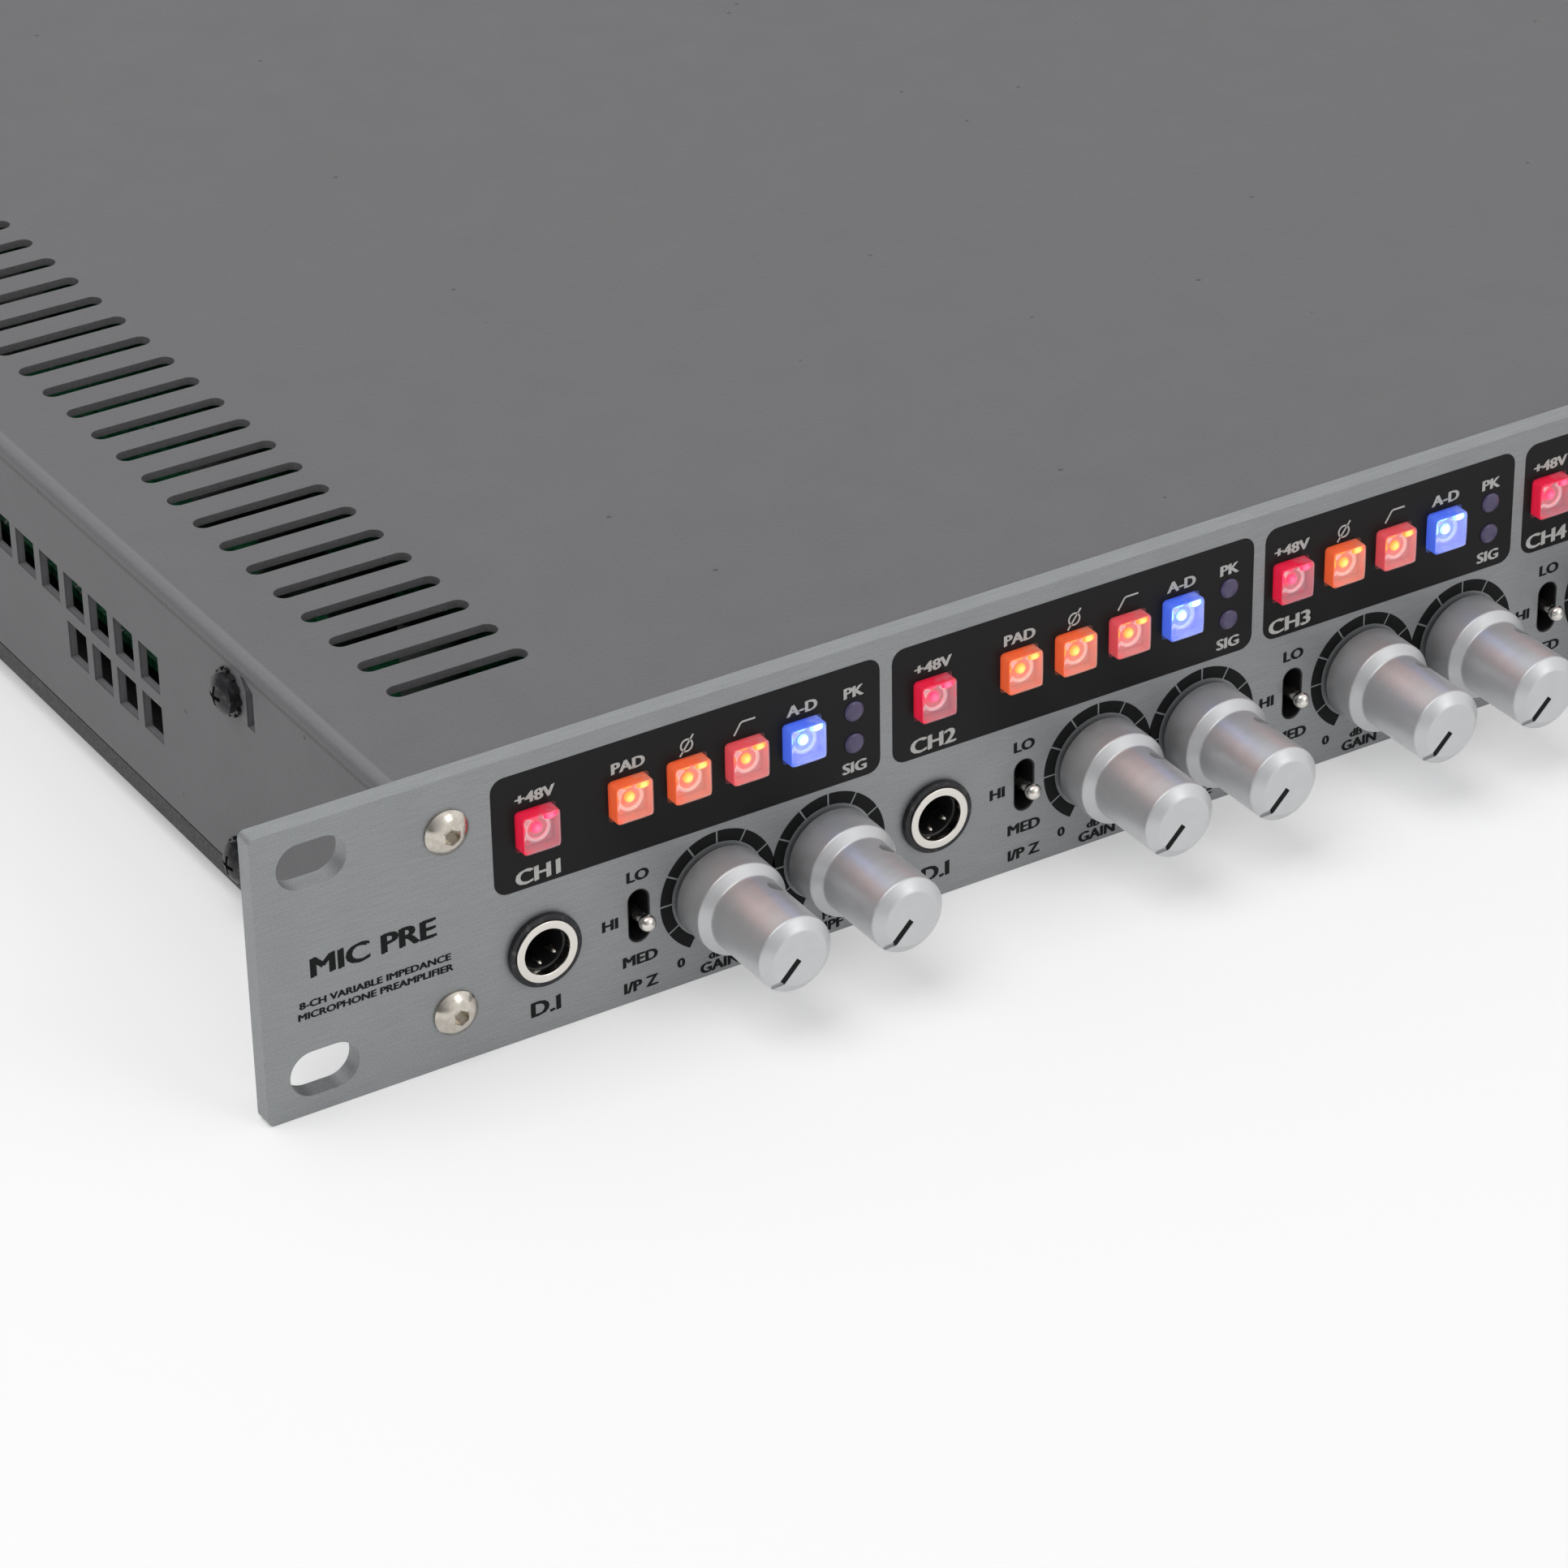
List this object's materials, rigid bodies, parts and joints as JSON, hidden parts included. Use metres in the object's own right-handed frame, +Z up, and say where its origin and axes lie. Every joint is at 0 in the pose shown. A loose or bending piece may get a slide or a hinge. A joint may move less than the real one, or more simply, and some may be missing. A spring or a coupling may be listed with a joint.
{
  "type": "microphone preamplifier",
  "caption": "Rack mounted eight channel microphone preamplifier, one rack unit high, with turned aluminium knobs, lit push buttons, toggles, instrument jacks and rear sockets.",
  "frame": {"origin": "Centre of the four rack slots, on the front face of the front panel", "axes": "+X to the right along the panel as seen from the front, +Y into the case towards the rear sockets, +Z up"},
  "size_m": [0.4826, 0.3365, 0.044],
  "materials": {
    "anodised_panel": "satin brushed anodised",
    "grey_texture_paint": "fine textured grey paint",
    "black_powder_coat": "matt black powder coat",
    "circuit_board": "green solder mask",
    "transformer_wrap": "amber polyester tape",
    "black_shell": "black coated die casting",
    "tinned_steel": "tin plated",
    "nickel": "nickel plated",
    "black_plastic": "moulded black nylon",
    "potentiometer_body": "moulded",
    "violet_lens": "unlit violet lens",
    "stainless": "bright stainless steel",
    "black_oxide": "black oxide",
    "red_lens": "clear cap lit red",
    "orange_lens": "clear cap lit orange",
    "coral_lens": "clear cap lit coral",
    "blue_lens": "clear cap lit blue",
    "knob_aluminium": "satin turned aluminium"
  },
  "bodies": {
    "chassis": {"front_panel": "anodised_panel", "base_tray": "black_powder_coat", "top_cover": "grey_texture_paint", "rear_panel": "black_powder_coat", "main_board": "circuit_board", "control_board": "circuit_board", "power_supply": "circuit_board", "mains_transformer": "transformer_wrap", "mic_sockets": "black_shell", "mic_socket_cores": "black_plastic", "d_sub_sockets": "tinned_steel", "clock_sockets": "nickel", "optical_sockets": "black_plastic", "mains_inlet": "black_plastic", "di_jacks": "nickel", "di_jack_nuts": "black_plastic", "potentiometers": "potentiometer_body", "switch_housings": "black_plastic", "indicator_leds": "violet_lens", "panel_screws": "stainless", "case_screws": "black_oxide"},
    "phantom_button_1": {"phantom_button_1": "red_lens"},
    "pad_button_1": {"pad_button_1": "orange_lens"},
    "polarity_button_1": {"polarity_button_1": "orange_lens"},
    "highpass_button_1": {"highpass_button_1": "coral_lens"},
    "converter_button_1": {"converter_button_1": "blue_lens"},
    "channel_buttons_2": {"channel_buttons_2": "coral_lens"},
    "channel_buttons_3": {"channel_buttons_3": "coral_lens"},
    "channel_buttons_4": {"channel_buttons_4": "coral_lens"},
    "channel_buttons_5": {"channel_buttons_5": "coral_lens"},
    "channel_buttons_6": {"channel_buttons_6": "coral_lens"},
    "channel_buttons_7": {"channel_buttons_7": "coral_lens"},
    "channel_buttons_8": {"channel_buttons_8": "coral_lens"},
    "sync_button": {"sync_button": "blue_lens"},
    "gain_knob_1": {"gain_knob_1": "knob_aluminium"},
    "filter_knob_1": {"filter_knob_1": "knob_aluminium"},
    "gain_knob_2": {"gain_knob_2": "knob_aluminium"},
    "filter_knob_2": {"filter_knob_2": "knob_aluminium"},
    "gain_knob_3": {"gain_knob_3": "knob_aluminium"},
    "filter_knob_3": {"filter_knob_3": "knob_aluminium"},
    "gain_knob_4": {"gain_knob_4": "knob_aluminium"},
    "filter_knob_4": {"filter_knob_4": "knob_aluminium"},
    "gain_knob_5": {"gain_knob_5": "knob_aluminium"},
    "filter_knob_5": {"filter_knob_5": "knob_aluminium"},
    "gain_knob_6": {"gain_knob_6": "knob_aluminium"},
    "filter_knob_6": {"filter_knob_6": "knob_aluminium"},
    "gain_knob_7": {"gain_knob_7": "knob_aluminium"},
    "filter_knob_7": {"filter_knob_7": "knob_aluminium"},
    "gain_knob_8": {"gain_knob_8": "knob_aluminium"},
    "filter_knob_8": {"filter_knob_8": "knob_aluminium"},
    "impedance_toggle_1": {"impedance_toggle_1": "nickel"},
    "impedance_toggle_2": {"impedance_toggle_2": "nickel"},
    "impedance_toggle_3": {"impedance_toggle_3": "nickel"},
    "impedance_toggle_4": {"impedance_toggle_4": "nickel"},
    "impedance_toggle_5": {"impedance_toggle_5": "nickel"},
    "impedance_toggle_6": {"impedance_toggle_6": "nickel"},
    "impedance_toggle_7": {"impedance_toggle_7": "nickel"},
    "impedance_toggle_8": {"impedance_toggle_8": "nickel"},
    "fuse_drawer": {"fuse_drawer": "black_plastic"},
    "power_rocker": {"power_rocker": "black_plastic"}
  },
  "joints": [
    {"name": "phantom_button_1_travel", "type": "slide", "parent": "chassis", "child": "phantom_button_1", "axis": [0, 1, 0], "range_m": [0, 0.0015], "stiffness_N_per_m": 600},
    {"name": "pad_button_1_travel", "type": "slide", "parent": "chassis", "child": "pad_button_1", "axis": [0, 1, 0], "range_m": [0, 0.0015], "stiffness_N_per_m": 600},
    {"name": "polarity_button_1_travel", "type": "slide", "parent": "chassis", "child": "polarity_button_1", "axis": [0, 1, 0], "range_m": [0, 0.0015], "stiffness_N_per_m": 600},
    {"name": "highpass_button_1_travel", "type": "slide", "parent": "chassis", "child": "highpass_button_1", "axis": [0, 1, 0], "range_m": [0, 0.0015], "stiffness_N_per_m": 600},
    {"name": "converter_button_1_travel", "type": "slide", "parent": "chassis", "child": "converter_button_1", "axis": [0, 1, 0], "range_m": [0, 0.0015], "stiffness_N_per_m": 600},
    {"name": "channel_buttons_2_travel", "type": "slide", "parent": "chassis", "child": "channel_buttons_2", "axis": [0, 1, 0], "range_m": [0, 0.0015], "stiffness_N_per_m": 600},
    {"name": "channel_buttons_3_travel", "type": "slide", "parent": "chassis", "child": "channel_buttons_3", "axis": [0, 1, 0], "range_m": [0, 0.0015], "stiffness_N_per_m": 600},
    {"name": "channel_buttons_4_travel", "type": "slide", "parent": "chassis", "child": "channel_buttons_4", "axis": [0, 1, 0], "range_m": [0, 0.0015], "stiffness_N_per_m": 600},
    {"name": "channel_buttons_5_travel", "type": "slide", "parent": "chassis", "child": "channel_buttons_5", "axis": [0, 1, 0], "range_m": [0, 0.0015], "stiffness_N_per_m": 600},
    {"name": "channel_buttons_6_travel", "type": "slide", "parent": "chassis", "child": "channel_buttons_6", "axis": [0, 1, 0], "range_m": [0, 0.0015], "stiffness_N_per_m": 600},
    {"name": "channel_buttons_7_travel", "type": "slide", "parent": "chassis", "child": "channel_buttons_7", "axis": [0, 1, 0], "range_m": [0, 0.0015], "stiffness_N_per_m": 600},
    {"name": "channel_buttons_8_travel", "type": "slide", "parent": "chassis", "child": "channel_buttons_8", "axis": [0, 1, 0], "range_m": [0, 0.0015], "stiffness_N_per_m": 600},
    {"name": "sync_button_travel", "type": "slide", "parent": "chassis", "child": "sync_button", "axis": [0, 1, 0], "range_m": [0, 0.0015], "stiffness_N_per_m": 600},
    {"name": "gain_knob_1_turn", "type": "hinge", "parent": "chassis", "child": "gain_knob_1", "pos_m": [-0.172, 0, -0.0087], "axis": [0, 1, 0], "range_deg": [0, 271]},
    {"name": "filter_knob_1_turn", "type": "hinge", "parent": "chassis", "child": "filter_knob_1", "pos_m": [-0.15425, 0, -0.0087], "axis": [0, 1, 0], "range_deg": [0, 271]},
    {"name": "gain_knob_2_turn", "type": "hinge", "parent": "chassis", "child": "gain_knob_2", "pos_m": [-0.1096, 0, -0.0087], "axis": [0, 1, 0], "range_deg": [0, 271]},
    {"name": "filter_knob_2_turn", "type": "hinge", "parent": "chassis", "child": "filter_knob_2", "pos_m": [-0.09185, 0, -0.0087], "axis": [0, 1, 0], "range_deg": [0, 271]},
    {"name": "gain_knob_3_turn", "type": "hinge", "parent": "chassis", "child": "gain_knob_3", "pos_m": [-0.0634, 0, -0.0087], "axis": [0, 1, 0], "range_deg": [0, 271]},
    {"name": "filter_knob_3_turn", "type": "hinge", "parent": "chassis", "child": "filter_knob_3", "pos_m": [-0.04565, 0, -0.0087], "axis": [0, 1, 0], "range_deg": [0, 271]},
    {"name": "gain_knob_4_turn", "type": "hinge", "parent": "chassis", "child": "gain_knob_4", "pos_m": [-0.0172, 0, -0.0087], "axis": [0, 1, 0], "range_deg": [0, 271]},
    {"name": "filter_knob_4_turn", "type": "hinge", "parent": "chassis", "child": "filter_knob_4", "pos_m": [0.00055, 0, -0.0087], "axis": [0, 1, 0], "range_deg": [0, 271]},
    {"name": "gain_knob_5_turn", "type": "hinge", "parent": "chassis", "child": "gain_knob_5", "pos_m": [0.029, 0, -0.0087], "axis": [0, 1, 0], "range_deg": [0, 271]},
    {"name": "filter_knob_5_turn", "type": "hinge", "parent": "chassis", "child": "filter_knob_5", "pos_m": [0.04675, 0, -0.0087], "axis": [0, 1, 0], "range_deg": [0, 271]},
    {"name": "gain_knob_6_turn", "type": "hinge", "parent": "chassis", "child": "gain_knob_6", "pos_m": [0.0752, 0, -0.0087], "axis": [0, 1, 0], "range_deg": [0, 271]},
    {"name": "filter_knob_6_turn", "type": "hinge", "parent": "chassis", "child": "filter_knob_6", "pos_m": [0.09295, 0, -0.0087], "axis": [0, 1, 0], "range_deg": [0, 271]},
    {"name": "gain_knob_7_turn", "type": "hinge", "parent": "chassis", "child": "gain_knob_7", "pos_m": [0.1214, 0, -0.0087], "axis": [0, 1, 0], "range_deg": [0, 271]},
    {"name": "filter_knob_7_turn", "type": "hinge", "parent": "chassis", "child": "filter_knob_7", "pos_m": [0.13915, 0, -0.0087], "axis": [0, 1, 0], "range_deg": [0, 271]},
    {"name": "gain_knob_8_turn", "type": "hinge", "parent": "chassis", "child": "gain_knob_8", "pos_m": [0.1676, 0, -0.0087], "axis": [0, 1, 0], "range_deg": [0, 271]},
    {"name": "filter_knob_8_turn", "type": "hinge", "parent": "chassis", "child": "filter_knob_8", "pos_m": [0.18535, 0, -0.0087], "axis": [0, 1, 0], "range_deg": [0, 271]},
    {"name": "impedance_toggle_1_throw", "type": "hinge", "parent": "chassis", "child": "impedance_toggle_1", "pos_m": [-0.18445, 0.0075, -0.0087], "axis": [1, 0, 0], "range_deg": [-20, 20]},
    {"name": "impedance_toggle_2_throw", "type": "hinge", "parent": "chassis", "child": "impedance_toggle_2", "pos_m": [-0.12205, 0.0075, -0.0087], "axis": [1, 0, 0], "range_deg": [-20, 20]},
    {"name": "impedance_toggle_3_throw", "type": "hinge", "parent": "chassis", "child": "impedance_toggle_3", "pos_m": [-0.07585, 0.0075, -0.0087], "axis": [1, 0, 0], "range_deg": [-20, 20]},
    {"name": "impedance_toggle_4_throw", "type": "hinge", "parent": "chassis", "child": "impedance_toggle_4", "pos_m": [-0.02965, 0.0075, -0.0087], "axis": [1, 0, 0], "range_deg": [-20, 20]},
    {"name": "impedance_toggle_5_throw", "type": "hinge", "parent": "chassis", "child": "impedance_toggle_5", "pos_m": [0.01655, 0.0075, -0.0087], "axis": [1, 0, 0], "range_deg": [-20, 20]},
    {"name": "impedance_toggle_6_throw", "type": "hinge", "parent": "chassis", "child": "impedance_toggle_6", "pos_m": [0.06275, 0.0075, -0.0087], "axis": [1, 0, 0], "range_deg": [-20, 20]},
    {"name": "impedance_toggle_7_throw", "type": "hinge", "parent": "chassis", "child": "impedance_toggle_7", "pos_m": [0.10895, 0.0075, -0.0087], "axis": [1, 0, 0], "range_deg": [-20, 20]},
    {"name": "impedance_toggle_8_throw", "type": "hinge", "parent": "chassis", "child": "impedance_toggle_8", "pos_m": [0.15515, 0.0075, -0.0087], "axis": [1, 0, 0], "range_deg": [-20, 20]},
    {"name": "fuse_drawer_slide", "type": "slide", "parent": "chassis", "child": "fuse_drawer", "axis": [0, 1, 0], "range_m": [0, 0.014]},
    {"name": "power_rocker_throw", "type": "hinge", "parent": "chassis", "child": "power_rocker", "pos_m": [0.1683, 0.299, 0.0008], "axis": [1, 0, 0], "range_deg": [-16, 0]}
  ]
}
